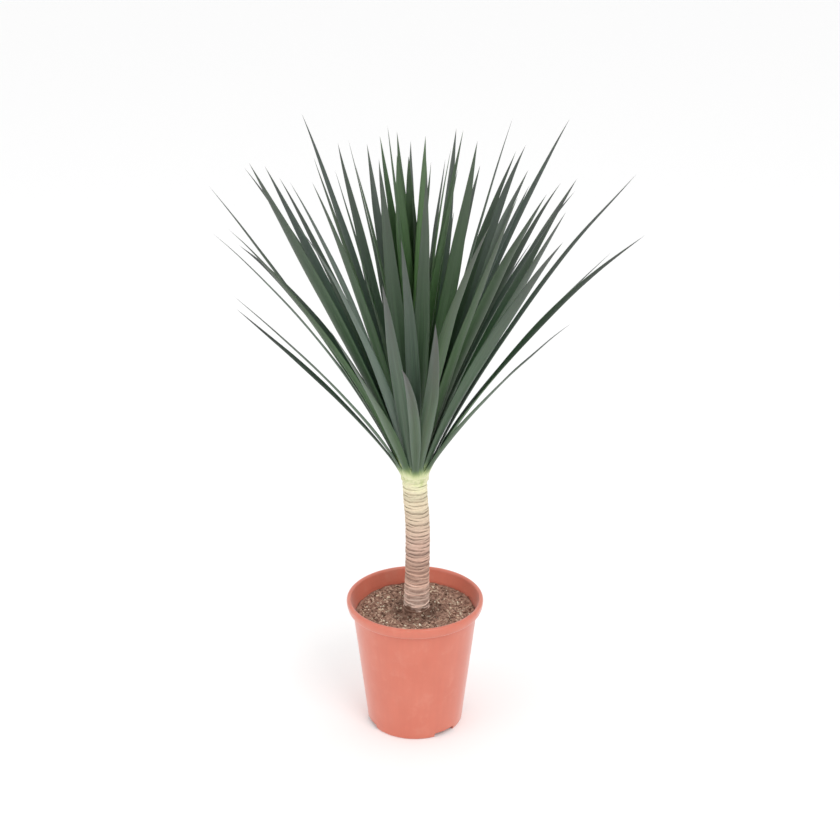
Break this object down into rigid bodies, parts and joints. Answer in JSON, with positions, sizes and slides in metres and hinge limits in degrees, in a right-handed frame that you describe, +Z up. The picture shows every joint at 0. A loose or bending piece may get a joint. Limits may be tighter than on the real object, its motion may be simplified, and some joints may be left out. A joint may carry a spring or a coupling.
{
  "type": "potted dragon tree",
  "caption": "Young dragon tree with a bare ringed stem and a fan of sword-shaped leaves, standing in a round plastic nursery pot of soil.",
  "frame": {"origin": "centre of the flat pad in the middle of the pot's underside", "axes": "+Z up along the stem, -Y towards the front of the plant, +X to its right"},
  "size_m": [0.5385, 0.5197, 0.8606],
  "materials": {
    "pot_plastic": "injection-moulded terracotta-coloured polypropylene, satin",
    "potting_soil": "coarse peat and bark crumbs, dry on top",
    "cane_bark": "thin bark ringed by crescent leaf scars, cream at the top and grey-brown at the soil",
    "leaf_skin": "stiff leathery leaf with a grey-green waxy bloom",
    "young_leaf_skin": "fresh green leathery leaf, rolled in the middle"
  },
  "bodies": {
    "root": {"pot": "pot_plastic", "soil": "potting_soil", "stem": "cane_bark", "leaf_01": "leaf_skin", "leaf_02": "leaf_skin", "leaf_03": "leaf_skin", "leaf_04": "leaf_skin", "leaf_05": "leaf_skin", "leaf_06": "leaf_skin", "leaf_07": "leaf_skin", "leaf_08": "leaf_skin", "leaf_09": "leaf_skin", "leaf_10": "leaf_skin", "leaf_11": "leaf_skin", "leaf_12": "leaf_skin", "leaf_13": "leaf_skin", "leaf_14": "leaf_skin", "leaf_15": "leaf_skin", "leaf_16": "leaf_skin", "leaf_17": "leaf_skin", "leaf_18": "leaf_skin", "leaf_19": "leaf_skin", "leaf_20": "leaf_skin", "leaf_21": "leaf_skin", "leaf_22": "leaf_skin", "leaf_23": "leaf_skin", "leaf_24": "leaf_skin", "leaf_25": "leaf_skin", "leaf_26": "leaf_skin", "leaf_27": "leaf_skin", "leaf_28": "leaf_skin", "leaf_29": "leaf_skin", "leaf_30": "leaf_skin", "leaf_31": "leaf_skin", "leaf_32": "leaf_skin", "leaf_33": "leaf_skin", "leaf_34": "leaf_skin", "leaf_35": "leaf_skin", "leaf_36": "leaf_skin", "leaf_37": "leaf_skin", "leaf_38": "leaf_skin", "leaf_39": "leaf_skin", "leaf_40": "leaf_skin", "leaf_41": "leaf_skin", "leaf_42": "leaf_skin", "leaf_43": "leaf_skin", "leaf_44": "leaf_skin", "leaf_45": "leaf_skin", "leaf_46": "leaf_skin", "leaf_47": "leaf_skin", "leaf_48": "leaf_skin", "leaf_49": "leaf_skin", "leaf_50": "leaf_skin", "leaf_51": "leaf_skin", "leaf_52": "leaf_skin", "leaf_53": "leaf_skin", "leaf_54": "leaf_skin", "leaf_55": "leaf_skin", "leaf_56": "leaf_skin", "young_leaves": "young_leaf_skin"}
  },
  "joints": []
}
